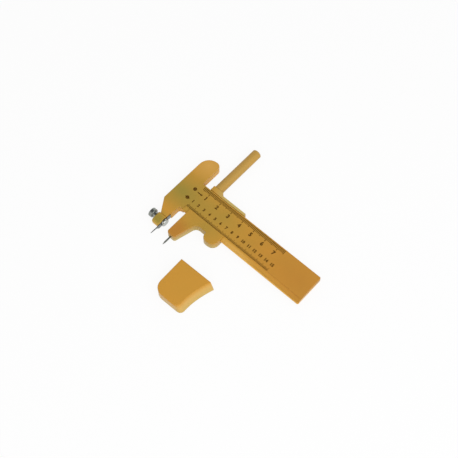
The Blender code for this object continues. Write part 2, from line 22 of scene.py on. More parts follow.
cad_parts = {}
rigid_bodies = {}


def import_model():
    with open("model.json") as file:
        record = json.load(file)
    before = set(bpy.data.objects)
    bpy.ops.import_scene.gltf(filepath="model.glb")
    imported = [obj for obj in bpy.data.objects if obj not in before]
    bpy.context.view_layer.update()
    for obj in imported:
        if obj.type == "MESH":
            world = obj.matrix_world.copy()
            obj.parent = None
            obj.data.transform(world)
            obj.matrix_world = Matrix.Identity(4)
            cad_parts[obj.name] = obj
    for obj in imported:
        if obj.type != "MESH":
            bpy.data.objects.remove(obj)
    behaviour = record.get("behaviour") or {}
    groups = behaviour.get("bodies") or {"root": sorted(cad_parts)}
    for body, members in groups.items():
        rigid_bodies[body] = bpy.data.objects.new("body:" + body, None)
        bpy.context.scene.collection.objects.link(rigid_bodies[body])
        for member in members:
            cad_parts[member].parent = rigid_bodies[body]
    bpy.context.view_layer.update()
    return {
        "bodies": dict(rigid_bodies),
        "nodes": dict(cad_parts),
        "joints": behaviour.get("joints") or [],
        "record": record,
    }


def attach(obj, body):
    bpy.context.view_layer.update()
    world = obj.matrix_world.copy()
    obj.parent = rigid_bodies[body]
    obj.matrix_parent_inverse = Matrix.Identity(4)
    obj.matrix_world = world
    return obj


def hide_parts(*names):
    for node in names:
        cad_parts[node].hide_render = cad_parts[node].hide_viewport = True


MM = 0.001
IMAGE_PIXELS = 458
MERGE_DISTANCE = 1e-6
FLAT_ANGLE = math.radians(0.3)
FLAT_WEIGHT = 90
TURNED_EDGE = math.radians(30)
MOULDED_EDGE = math.radians(50)
SOFT_DETAIL = 2.0
FINE_DETAIL = 3.0
WHITE = "#FFFFFF"
log = logging.getLogger("circle_cutter")


class Row(Enum):
    """Rows of the printed scale, each with the numbers it shows."""

    RADIUS = tuple(range(1, 8))
    DIAMETER = tuple(range(1, 16))


class Lay(Enum):
    """Direction of the fine lines that a metal's last process leaves, as stretch along X, Y and Z."""

    ALONG_X = (0.04, 1.0, 1.0)
    ALONG_Y = (1.0, 0.04, 1.0)


class Tint(Enum):
    """Hues that the plastic drifts to where its colour didn't mix fully, and paler hues that are painted
    light: walls painted paler towards the table, a paler front wall and lip, and a paler rail for a painted
    reflection.
    """

    OLIVE = "#A08A3B"
    AMBER = "#BA8033"
    STRAW = "#D8A553"
    # Painted light: a paler rail for a painted reflection, and walls painted paler towards the table.
    WHEAT = "#C5AC65"
    # Painted light: the beam's walls painted paler towards the table, in place of light thrown up from it.
    PALE = "#F2BC52"


def srgb(code: str) -> tuple[float, float, float, float]:
    """Turn an sRGB hex colour into a linear one.

    Args:
        code: six hex digits after a hash sign.

    Returns:
        Linear red, green, blue and an alpha of 1.
    """
    channels = []
    for start in (1, 3, 5):
        value = int(code[start:start + 2], 16) / 255
        channels.append(value / 12.92 if value <= 0.04045 else ((value + 0.055) / 1.055) ** 2.4)
    return (channels[0], channels[1], channels[2], 1.0)


def add_node(
    tree: bpy.types.NodeTree, kind: str, inputs: dict[Any, Any] | None = None, **settings: Any,
) -> bpy.types.Node:
    """Add a node with its settings, socket values and links.

    Args:
        tree: node tree that takes the node.
        kind: the node's type.
        inputs: socket name or number to a value, or to an output socket to link from.
        **settings: attributes of the node.

    Returns:
        The new node.
    """
    node = tree.nodes.new(kind)
    for name, value in settings.items():
        setattr(node, name, value)
    for key, value in (inputs or {}).items():
        if isinstance(value, bpy.types.NodeSocket):
            tree.links.new(value, node.inputs[key])
        else:
            node.inputs[key].default_value = value
    return node


def new_material(name: str) -> tuple[bpy.types.Material, bpy.types.NodeTree]:
    """Start a material with an empty node tree.

    Args:
        name: the material's name.

    Returns:
        The material and its tree.
    """
    material = bpy.data.materials.new(name)
    material.use_nodes = True
    material.node_tree.nodes.clear()
    return material, material.node_tree


@dataclass(frozen=True)
class Patch:
    """A place in a moulding where the colour drifts to a tint, fading out at its reach. Some patches are
    painted light: walls painted paler towards the table, and a paler lip and rail.

    The centre, and the reach along X, Y and Z, are in millimetres. A share above 1 keeps the tint whole
    further from the centre.
    """

    tint: Tint
    centre: tuple[float, float, float]
    reach: tuple[float, float, float]
    share: float

    def blend(
        self, tree: bpy.types.NodeTree, place: bpy.types.NodeSocket, colour: bpy.types.NodeSocket,
    ) -> bpy.types.NodeSocket:
        """Mix the tint into a colour.

        Args:
            tree: the material's tree.
            place: socket of the point.
            colour: socket of the colour so far.

        Returns:
            Socket of the new colour.
        """
        offset = tuple(-at / reach for at, reach in zip(self.centre, self.reach))
        scale = tuple(1 / (reach * MM) for reach in self.reach)
        inputs = {"Vector": place, "Location": offset, "Scale": scale}
        spread = add_node(tree, "ShaderNodeMapping", inputs).outputs[0]
        fade = add_node(tree, "ShaderNodeTexGradient", {"Vector": spread}, gradient_type="SPHERICAL")
        inputs = {0: fade.outputs["Fac"], 1: self.share}
        share = add_node(tree, "ShaderNodeMath", inputs, operation="MULTIPLY", use_clamp=True).outputs[0]
        inputs = {"Factor": share, "A": colour, "B": srgb(self.tint.value)}
        return add_node(tree, "ShaderNodeMix", inputs, data_type="RGBA").outputs["Result"]


@dataclass(frozen=True)
class MouldedPlastic:
    """Injection-moulded ABS, coloured through, from a spark-eroded mould.

    It gives the eye an even ochre with slow drifts of hue where the colour didn't mix fully, a soft broad
    highlight broken by fine grain, and a hairline where the two halves of the mould met. Its patches add
    further drifts, and some of them are painted light: walls painted paler towards the table, and a paler
    lip and rail.
    """

    name: str
    warm: str = "#CC9439"
    olive: str = Tint.OLIVE.value
    drift: float = 17 * MM
    drift_range: tuple[float, float] = (0.35, 0.75)
    drift_share: float = 0.4
    patches: tuple[Patch, ...] = ()
    grain: float = 0.35 * MM
    grain_depth: float = 0.02 * MM
    grain_strength: float = 0.25
    parting_height: float = 3.4 * MM
    parting_half_width: float = 0.05 * MM
    roughness: float = 0.34
    roughness_swing: float = 0.06
    refraction: float = 1.53
    gloss: float = 0.12
    skin: float = 0.03
    skin_roughness: float = 0.25

    def build(self) -> bpy.types.Material:
        """Make the material.

        Returns:
            The finished material.
        """
        material, tree = new_material(self.name)
        place = add_node(tree, "ShaderNodeTexCoord").outputs["Object"]
        inputs = {"Vector": place, "Scale": 1 / self.drift, "Detail": SOFT_DETAIL}
        drift = add_node(tree, "ShaderNodeTexNoise", inputs).outputs["Fac"]
        low, high = self.drift_range
        inputs = {"Value": drift, "From Min": low, "From Max": high, "To Max": self.drift_share}
        share = add_node(tree, "ShaderNodeMapRange", inputs).outputs[0]
        inputs = {"Factor": share, "A": srgb(self.warm), "B": srgb(self.olive)}
        colour = add_node(tree, "ShaderNodeMix", inputs, data_type="RGBA").outputs["Result"]
        # Some patches are painted light: walls painted paler towards the table, and a paler lip and rail.
        for patch in self.patches:
            colour = patch.blend(tree, place, colour)

        # The real grain is about 0.05 mm. It is drawn several times as coarse, so that it shows in a render.
        inputs = {"Vector": place, "Scale": 1 / self.grain, "Detail": FINE_DETAIL}
        grain = add_node(tree, "ShaderNodeTexNoise", inputs).outputs["Fac"]
        low, high = self.roughness - self.roughness_swing, self.roughness + self.roughness_swing
        inputs = {"Value": grain, "To Min": low, "To Max": high}
        rough = add_node(tree, "ShaderNodeMapRange", inputs).outputs[0]
        height = add_node(tree, "ShaderNodeSeparateXYZ", {0: place}).outputs["Z"]
        inputs = {0: height, 1: self.parting_height, 2: self.parting_half_width}
        line = add_node(tree, "ShaderNodeMath", inputs, operation="COMPARE").outputs[0]
        relief = add_node(tree, "ShaderNodeMath", {0: grain, 1: line}, operation="ADD").outputs[0]
        inputs = {"Height": relief, "Strength": self.grain_strength, "Distance": self.grain_depth}
        normal = add_node(tree, "ShaderNodeBump", inputs).outputs["Normal"]
        shader = add_node(tree, "ShaderNodeBsdfPrincipled", {
            "Base Color": colour,
            "Roughness": rough,
            "Normal": normal,
            "IOR": self.refraction,
            "Specular IOR Level": self.gloss,
            "Coat Weight": self.skin,
            "Coat Roughness": self.skin_roughness,
        })
        add_node(tree, "ShaderNodeOutputMaterial", {"Surface": shader.outputs[0]})
        return material


@dataclass(frozen=True)
class PrintedInk:
    """Pad-printed solvent ink, dark brown and nearly matt, thin enough that it wears slightly uneven."""

    name: str
    dark: str = "#563602"
    worn: str = "#70500C"
    wear: float = 1.6 * MM
    wear_range: tuple[float, float] = (0.45, 0.75)
    roughness_range: tuple[float, float] = (0.45, 0.65)
    gloss: float = 0.12

    def build(self) -> bpy.types.Material:
        """Make the material.

        Returns:
            The finished material.
        """
        material, tree = new_material(self.name)
        place = add_node(tree, "ShaderNodeTexCoord").outputs["Object"]
        inputs = {"Vector": place, "Scale": 1 / self.wear, "Detail": FINE_DETAIL}
        wear = add_node(tree, "ShaderNodeTexNoise", inputs).outputs["Fac"]
        low, high = self.wear_range
        inputs = {"Value": wear, "From Min": low, "From Max": high}
        share = add_node(tree, "ShaderNodeMapRange", inputs).outputs[0]
        inputs = {"Factor": share, "A": srgb(self.dark), "B": srgb(self.worn)}
        colour = add_node(tree, "ShaderNodeMix", inputs, data_type="RGBA").outputs["Result"]
        low, high = self.roughness_range
        inputs = {"Value": wear, "To Min": low, "To Max": high}
        rough = add_node(tree, "ShaderNodeMapRange", inputs).outputs[0]
        inputs = {"Base Color": colour, "Roughness": rough, "Specular IOR Level": self.gloss}
        shader = add_node(tree, "ShaderNodeBsdfPrincipled", inputs)
        add_node(tree, "ShaderNodeOutputMaterial", {"Surface": shader.outputs[0]})
        return material


@dataclass(frozen=True)
class WorkedMetal:
    """Metal with the fine lines of its last process: turned and nickel plated, drawn, or ground.

    The lines break its reflections along one direction, and a slow drift of tone stands for handling.
    """

    name: str
    bright: str
    dull: str
    lay: Lay
    pitch: float = 0.12 * MM
    drift: float = 2.2 * MM
    roughness: float = 0.24
    smoother: float = 0.08
    rougher: float = 0.1
    line_strength: float = 0.3
    line_depth: float = 0.01 * MM

    def build(self) -> bpy.types.Material:
        """Make the material.

        Returns:
            The finished material.
        """
        material, tree = new_material(self.name)
        place = add_node(tree, "ShaderNodeTexCoord").outputs["Object"]
        inputs = {"Vector": place, "Scale": 1 / self.drift, "Detail": SOFT_DETAIL}
        drift = add_node(tree, "ShaderNodeTexNoise", inputs).outputs["Fac"]
        inputs = {"Factor": drift, "A": srgb(self.bright), "B": srgb(self.dull)}
        colour = add_node(tree, "ShaderNodeMix", inputs, data_type="RGBA").outputs["Result"]
        scale = tuple(share / self.pitch for share in self.lay.value)
        stretched = add_node(tree, "ShaderNodeMapping", {"Vector": place, "Scale": scale}).outputs[0]
        inputs = {"Vector": stretched, "Scale": 1.0, "Detail": SOFT_DETAIL}
        lines = add_node(tree, "ShaderNodeTexNoise", inputs).outputs["Fac"]
        low, high = self.roughness - self.smoother, self.roughness + self.rougher
        inputs = {"Value": lines, "To Min": low, "To Max": high}
        rough = add_node(tree, "ShaderNodeMapRange", inputs).outputs[0]
        inputs = {"Height": lines, "Strength": self.line_strength, "Distance": self.line_depth}
        normal = add_node(tree, "ShaderNodeBump", inputs).outputs["Normal"]
        inputs = {"Base Color": colour, "Metallic": 1.0, "Roughness": rough, "Normal": normal}
        shader = add_node(tree, "ShaderNodeBsdfPrincipled", inputs)
        add_node(tree, "ShaderNodeOutputMaterial", {"Surface": shader.outputs[0]})
        return material


def linked(name: str, data: bpy.types.ID) -> bpy.types.Object:
    """Put new data in the scene.

    Args:
        name: the object's name.
        data: its mesh, curve, lamp or camera.

    Returns:
        The new object.
    """
    obj = bpy.data.objects.new(name, data)
    bpy.context.scene.collection.objects.link(obj)
    return obj


def as_piece(
    name: str, mesh: bpy.types.Mesh, material: bpy.types.Material, body: str,
) -> bpy.types.Object:
    """Put a finished mesh in the scene as a piece that rides on a body.

    Args:
        name: the piece's name.
        mesh: its mesh, in place in the row frame.
        material: its finish.
        body: the frame's body that it moves with.

    Returns:
        The new object.
    """
    mesh.name = name
    mesh.materials.clear()
    mesh.materials.append(material)
    obj = linked(name, mesh)
    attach(obj, body)
    log.info("%s: %d faces, on %s", name, len(mesh.polygons), body)
    return obj


def evaluated_mesh(obj: bpy.types.Object) -> bpy.types.Mesh:
    """Turn an object with its modifiers into a plain mesh and remove the object.

    Args:
        obj: a mesh, curve or text object.

    Returns:
        The evaluated mesh.
    """
    depsgraph = bpy.context.evaluated_depsgraph_get()
    mesh = bpy.data.meshes.new_from_object(obj.evaluated_get(depsgraph))
    bpy.data.objects.remove(obj, do_unlink=True)
    return mesh


def finished_mesh(bm: bmesh.types.BMesh, name: str) -> bpy.types.Mesh:
    """Turn a mesh in the making into a plain mesh.

    Args:
        bm: the mesh in the making, which is used up.
        name: the new mesh's name.

    Returns:
        The plain mesh.
    """
    mesh = bpy.data.meshes.new(name)
    bm.to_mesh(mesh)
    bm.free()
    return mesh


def joined(meshes: list[bpy.types.Mesh]) -> bpy.types.Mesh:
    """Join meshes into one, with its faces turned outwards.

    Args:
        meshes: meshes in place, which are used up.

    Returns:
        One mesh.
    """
    bm = bmesh.new()
    for mesh in meshes:
        bm.from_mesh(mesh)
        bpy.data.meshes.remove(mesh)
    bmesh.ops.recalc_face_normals(bm, faces=bm.faces)
    return finished_mesh(bm, "joined")


def weld(mesh: bpy.types.Mesh) -> None:
    """Merge the doubled points of a mesh.

    Args:
        mesh: the mesh, which is changed.
    """
    bm = bmesh.new()
    bm.from_mesh(mesh)
    bmesh.ops.remove_doubles(bm, verts=bm.verts, dist=MERGE_DISTANCE)
    bm.to_mesh(mesh)
    bm.free()


def smooth_copy(
    node: bpy.types.Object, sharp_angle: float, cutter: bpy.types.Object | None = None,
) -> bpy.types.Mesh:
    """Copy a solid of the frame as one welded mesh with rounded shading.

    Args:
        node: the frame's object.
        sharp_angle: edges that turn by more than this stay sharp.
        cutter: a closed shape to take out of the copy, which is used up.

    Returns:
        The welded mesh, with its flat faces kept flat by area-weighted normals.
    """
    mesh = node.data.copy()
    weld(mesh)
    if cutter is not None:
        holder = linked(node.name + "_cut", mesh)
        cut = holder.modifiers.new("cut", "BOOLEAN")
        cut.operation = "DIFFERENCE"
        cut.solver = "EXACT"
        cut.object = cutter
        mesh = evaluated_mesh(holder)
        bpy.data.objects.remove(cutter, do_unlink=True)
    bm = bmesh.new()
    bm.from_mesh(mesh)
    bmesh.ops.dissolve_limit(bm, angle_limit=FLAT_ANGLE, verts=bm.verts, edges=bm.edges)
    bm.to_mesh(mesh)
    bm.free()
    mesh.shade_smooth()
    mesh.set_sharp_from_angle(angle=sharp_angle)
    holder = linked(node.name + "_copy", mesh)
    weighted = holder.modifiers.new("flat_faces", "WEIGHTED_NORMAL")
    weighted.mode = "FACE_AREA"
    weighted.weight = FLAT_WEIGHT
    weighted.keep_sharp = True
    return evaluated_mesh(holder)


@dataclass
class Repeater:
    """A Geometry Nodes tree that puts a shape on many points, with named inputs."""

    name: str
    sockets: dict[str, str]

    def __post_init__(self) -> None:
        """Start the tree, and keep each input's socket and identifier."""
        self.tree = bpy.data.node_groups.new(self.name, "GeometryNodeTree")
        sides = self.tree.interface
        sides.new_socket("Geometry", in_out="OUTPUT", socket_type="NodeSocketGeometry")
        self.identifiers = {}
        for label, kind in self.sockets.items():
            self.identifiers[label] = sides.new_socket(label, in_out="INPUT", socket_type=kind).identifier
        self.given = self.tree.nodes.new("NodeGroupInput").outputs

    def close(self, points: Any, shape: Any, material: bpy.types.Material, scale: Any = (1, 1, 1)) -> None:
        """Put the shape on the points, make the copies real and give them their material.

        Args:
            points: socket of the points.
            shape: socket of the shape.
            material: the copies' finish.
            scale: size of each copy, or its socket.
        """
        inputs = {"Points": points, "Instance": shape, "Scale": scale}
        copies = add_node(self.tree, "GeometryNodeInstanceOnPoints", inputs).outputs[0]
        real = add_node(self.tree, "GeometryNodeRealizeInstances", {0: copies}).outputs[0]
        inputs = {"Geometry": real, "Material": material}
        dressed = add_node(self.tree, "GeometryNodeSetMaterial", inputs).outputs[0]
        add_node(self.tree, "NodeGroupOutput", {0: dressed})

    def run(self, mesh: bpy.types.Mesh, values: dict[str, Any]) -> bpy.types.Mesh:
        """Run the tree.

        Args:
            mesh: the mesh that it starts from.
            values: a value for each input.

        Returns:
            The mesh that it makes.
        """
        holder = linked(self.name, mesh)
        modifier = holder.modifiers.new(self.name, "NODES")
        modifier.node_group = self.tree
        for label, value in values.items():
            modifier[self.identifiers[label]] = value
        return evaluated_mesh(holder)


@dataclass
class EjectorMarks:
    """Shallow round marks that the mould's ejector pins leave under a moulding, at places in millimetres."""

    places: list[tuple[float, float, float]]
    radius: float = 1.6 * MM
    depth: float = 0.12 * MM
    facets: int = 32

    def cutter(self, material: bpy.types.Material) -> bpy.types.Object:
        """Make the pins that are taken out of the moulding.

        Args:
            material: the moulding's plastic.

        Returns:
            One object of closed pins, half sunk into the face.
        """
        sockets = {"Geometry": "NodeSocketGeometry", "Radius": "NodeSocketFloat", "Depth": "NodeSocketFloat"}
        pins = Repeater("ejector_pins", sockets)
        inputs = {"Vertices": self.facets, "Radius": pins.given["Radius"], "Depth": pins.given["Depth"]}
        pin = add_node(pins.tree, "GeometryNodeMeshCylinder", inputs).outputs["Mesh"]
        pins.close(pins.given["Geometry"], pin, material)
        points = bpy.data.meshes.new("pin_places")
        points.from_pydata([tuple(at * MM for at in place) for place in self.places], [], [])
        mesh = pins.run(points, {"Radius": self.radius, "Depth": 2 * self.depth})
        return linked("ejector_pins", mesh)


@dataclass
class DressedSolid:
    """A piece of the tool that stands for one of the frame's solids."""

    node: str
    piece: str
    body: str
    slot: str
    finish: MouldedPlastic | WorkedMetal
    sharp_angle: float = TURNED_EDGE
    marks: EjectorMarks | None = None

    def build(self, frame: dict[str, Any]) -> bpy.types.Object:
        """Make the piece and let it stand for the frame's node.


        Returns:
            The dressed piece.
        """
        material = self.finish.build()
        cutter = self.marks.cutter(material) if self.marks else None
        mesh = smooth_copy(frame["nodes"][self.node], self.sharp_angle, cutter)
        obj = as_piece(self.piece, mesh, material, self.body)
        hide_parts(self.node)
        return obj


@dataclass(frozen=True)
class TickBand:
    """A band of ticks from a base line, with every fifth and tenth tick longer.

    The side is -0.5 where the ticks run from the line towards -Y, and 0.5 where they run towards +Y.
    """

    edge: float
    side: float
    spacing: float
    width: float
    short: float
    middle: float
    long: float


@dataclass(frozen=True)
class NumberRow:
    """A row of printed numbers: how far apart they are, the row's middle line and the digits' height."""

    numbers: Row
    step: float
    line: float
    height: float


@dataclass
class PrintedScale:
    """Two rows of numbers, a band of ticks along each long edge of the beam, and a sign before each row.

    A sign is a ring with a bar, whose ends are shares of the ring's radius.
    """

    face_height: float = 6.8 * MM
    ink_height: float = 0.02 * MM
    band_start: float = 4.0 * MM
    band_end: float = 75.0 * MM
    upper_band: TickBand = TickBand(10.5 * MM, -0.5, 1.0 * MM, 0.5 * MM, 2.5 * MM, 3.0 * MM, 3.8 * MM)
    lower_band: TickBand = TickBand(-8.25 * MM, 0.5, 0.5 * MM, 0.21 * MM, 1.5 * MM, 1.9 * MM, 2.5 * MM)
    base_line: float = 0.25 * MM
    line_overrun: float = 0.3 * MM
    radius_row: NumberRow = NumberRow(Row.RADIUS, 10 * MM, 4.25 * MM, 2.7 * MM)
    diameter_row: NumberRow = NumberRow(Row.DIAMETER, 5 * MM, -2.9 * MM, 2.0 * MM)
    figure_boldness: float = 0.08
    figure_steps: int = 3
    sign_radius: float = 1.35 * MM
    sign_hole: float = 0.297 * MM
    sign_bar: float = 0.4 * MM
    sign_steps: int = 28
    radius_sign: tuple[float, float] = (-0.4 * MM, 4.8 * MM)
    radius_bar: tuple[float, float] = (0.0, 1.0)
    diameter_sign: tuple[float, float] = (0.0, -3.2 * MM)
    diameter_bar: tuple[float, float] = (-1.4, 1.4)
    arrow_tail: tuple[float, float] = (2.6 * MM, 4.2 * MM)
    arrow_length: float = 4.2 * MM
    arrow_width: float = 0.7 * MM
    arrow_barb: float = 0.98 * MM
    arrow_head: float = 1.176 * MM

    def ticks(self, material: bpy.types.Material) -> Repeater:
        """Build the Geometry Nodes tree that lays a band of ticks.

        Args:
            material: the ink.

        Returns:
            The tree with its inputs.
        """
        sockets = {"Count": "NodeSocketInt", "Phase": "NodeSocketInt", "Start": "NodeSocketVector"}
        for name in ("Spacing", "Width", "Thickness", "Short", "Middle", "Long", "Side"):
            sockets[name] = "NodeSocketFloat"
        ticks = Repeater("tick_band", sockets)
        tree, given = ticks.tree, ticks.given
        step = add_node(tree, "ShaderNodeCombineXYZ", {"X": given["Spacing"]}).outputs[0]
        inputs = {"Count": given["Count"], "Start Location": given["Start"], "Offset": step}
        line = add_node(tree, "GeometryNodeMeshLine", inputs, mode="OFFSET").outputs["Mesh"]
        index = add_node(tree, "GeometryNodeInputIndex").outputs[0]
        number = add_node(tree, "ShaderNodeMath", {0: index, 1: given["Phase"]}, operation="ADD").outputs[0]
        length = given["Short"]
        for period, longer in ((5, "Middle"), (10, "Long")):
            left = add_node(tree, "ShaderNodeMath", {0: number, 1: period}, operation="MODULO").outputs[0]
            due = add_node(tree, "FunctionNodeCompare", {0: left, 1: 0.5}, operation="LESS_THAN").outputs[0]
            inputs = {"Switch": due, "False": length, "True": given[longer]}
            length = add_node(tree, "GeometryNodeSwitch", inputs, input_type="FLOAT").outputs[0]
        shift = add_node(tree, "ShaderNodeCombineXYZ", {"Y": given["Side"]}).outputs[0]
        cube = add_node(tree, "GeometryNodeMeshCube").outputs["Mesh"]
        inputs = {"Geometry": cube, "Translation": shift}
        bar = add_node(tree, "GeometryNodeTransform", inputs).outputs[0]
        inputs = {"X": given["Width"], "Y": length, "Z": given["Thickness"]}
        size = add_node(tree, "ShaderNodeCombineXYZ", inputs).outputs[0]
        ticks.close(line, bar, material, size)
        return ticks

    def tick_mesh(self, band: TickBand, ticks: Repeater) -> bpy.types.Mesh:
        """Lay one band of ticks.

        Args:
            band: the band.
            ticks: the Geometry Nodes tree.

        Returns:
            A mesh of thin closed ticks, in place.
        """
        return ticks.run(bpy.data.meshes.new("ticks"), {
            "Count": round((self.band_end - self.band_start) / band.spacing) + 1,
            "Phase": round(self.band_start / band.spacing),
            "Start": (self.band_start, band.edge, self.face_height),
            "Spacing": band.spacing,
            "Width": band.width,
            "Thickness": 2 * self.ink_height,
            "Short": band.short,
            "Middle": band.middle,
            "Long": band.long,
            "Side": band.side,
        })

    def figure(self, text: str, centre: tuple[float, float], height: float) -> bpy.types.Mesh:
        """Make one printed number.

        Args:
            text: its digits.
            centre: its middle on the face.
            height: height of its digits.

        Returns:
            A thin closed mesh, in place.
        """
        curve = bpy.data.curves.new("figure", "FONT")
        curve.body = text
        curve.resolution_u = self.figure_steps
        curve.size = 1.0
        holder = linked("figure", curve)
        bpy.context.view_layer.update()
        scale = height / holder.dimensions.y
        curve.offset = self.figure_boldness * height / scale
        curve.extrude = self.ink_height / scale
        mesh = evaluated_mesh(holder)
        low = Vector(min(vertex.co[axis] for vertex in mesh.vertices) for axis in range(3))
        high = Vector(max(vertex.co[axis] for vertex in mesh.vertices) for axis in range(3))
        middle = (low + high) / 2
        place = Vector((*centre, self.face_height))
        mesh.transform(Matrix.Translation(place) @ Matrix.Scale(scale, 4) @ Matrix.Translation(-middle))
        weld(mesh)
        return mesh

    def add_bar(
        self, bm: bmesh.types.BMesh, start: tuple[float, float], end: tuple[float, float],
    ) -> None:
        """Add a printed bar to a mesh in the making.

        Args:
            bm: the mesh in the making.
            start: a corner of the bar on the face.
            end: the corner across from it.
        """
        size = (abs(end[0] - start[0]), abs(end[1] - start[1]), 2 * self.ink_height)
        middle = ((start[0] + end[0]) / 2, (start[1] + end[1]) / 2, self.face_height)
        box = bmesh.ops.create_cube(bm, size=1)["verts"]
        bmesh.ops.scale(bm, vec=size, verts=box)
        bmesh.ops.translate(bm, vec=middle, verts=box)

    def base(self, band: TickBand) -> bpy.types.Mesh:
        """Make the line that a band of ticks starts from.

        Args:
            band: the band.

        Returns:
            A thin closed mesh, in place.
        """
        bm = bmesh.new()
        inner_edge = band.edge + math.copysign(self.base_line, band.side)
        self.add_bar(
            bm, (self.band_start - self.line_overrun, band.edge),
            (self.band_end + self.line_overrun, inner_edge))
        return finished_mesh(bm, "base_line")

    def sign(self, centre: tuple[float, float], bar: tuple[float, float]) -> bpy.types.Mesh:
        """Make a drawing sign: a ring with a bar from its middle or across it.

        Args:
            centre: its middle on the face.
            bar: start and end of the bar along X, as shares of the ring's radius.

        Returns:
            A thin closed mesh, in place.
        """
        bm = bmesh.new()
        low, high = self.face_height - self.ink_height, self.face_height + self.ink_height
        section = (
            (self.sign_hole, low), (self.sign_radius, low), (self.sign_radius, high), (self.sign_hole, high))
        x, y = centre
        rings = []
        for step in range(self.sign_steps):
            turn = 2 * math.pi * step / self.sign_steps
            rings.append([
                bm.verts.new((x + radius * math.cos(turn), y + radius * math.sin(turn), z))
                for radius, z in section])
        for ring, following in zip(rings, rings[1:] + rings[:1]):
            for i in range(len(section)):
                bm.faces.new((ring[i - 1], ring[i], following[i], following[i - 1]))
        start, end = (x + share * self.sign_radius for share in bar)
        self.add_bar(bm, (start, y - self.sign_bar / 2), (end, y + self.sign_bar / 2))
        return finished_mesh(bm, "sign")

    def arrow(self) -> bpy.types.Mesh:
        """Make the printed arrow along the upper row.

        Returns:
            A thin closed mesh, in place.
        """
        half, barb = self.arrow_width / 2, self.arrow_barb
        neck = self.arrow_length - self.arrow_head
        side = [(0.0, half), (neck, half), (neck, barb)]
        outline = [*side, (self.arrow_length, 0.0), *((x, -y) for x, y in reversed(side))]
        bm = bmesh.new()
        low = self.face_height - self.ink_height
        corners = [(self.arrow_tail[0] + x, self.arrow_tail[1] + y, low) for x, y in outline]
        face = bm.faces.new([bm.verts.new(corner) for corner in corners])
        top = bmesh.ops.extrude_face_region(bm, geom=[face])["geom"]
        raised = [item for item in top if isinstance(item, bmesh.types.BMVert)]
        bmesh.ops.translate(bm, vec=(0, 0, 2 * self.ink_height), verts=raised)
        return finished_mesh(bm, "arrow")

    def build(self) -> None:
        """Print the ticks, numbers and signs on the beam's face."""
        ink = PrintedInk("scale_ink_pad_printed").build()
        ticks = self.ticks(ink)
        bands = (self.upper_band, self.lower_band)
        marks = [self.tick_mesh(band, ticks) for band in bands] + [self.base(band) for band in bands]
        as_piece("scale_ticks", joined(marks), ink, "tool")

        figures = []
        for row in (self.radius_row, self.diameter_row):
            for number in row.numbers.value:
                figures.append(self.figure(str(number), (number * row.step, row.line), row.height))
        as_piece("scale_numbers", joined(figures), ink, "tool")

        radius_sign = self.sign(self.radius_sign, self.radius_bar)
        diameter_sign = self.sign(self.diameter_sign, self.diameter_bar)
        signs = joined([radius_sign, diameter_sign, self.arrow()])
        as_piece("scale_signs", signs, ink, "tool")


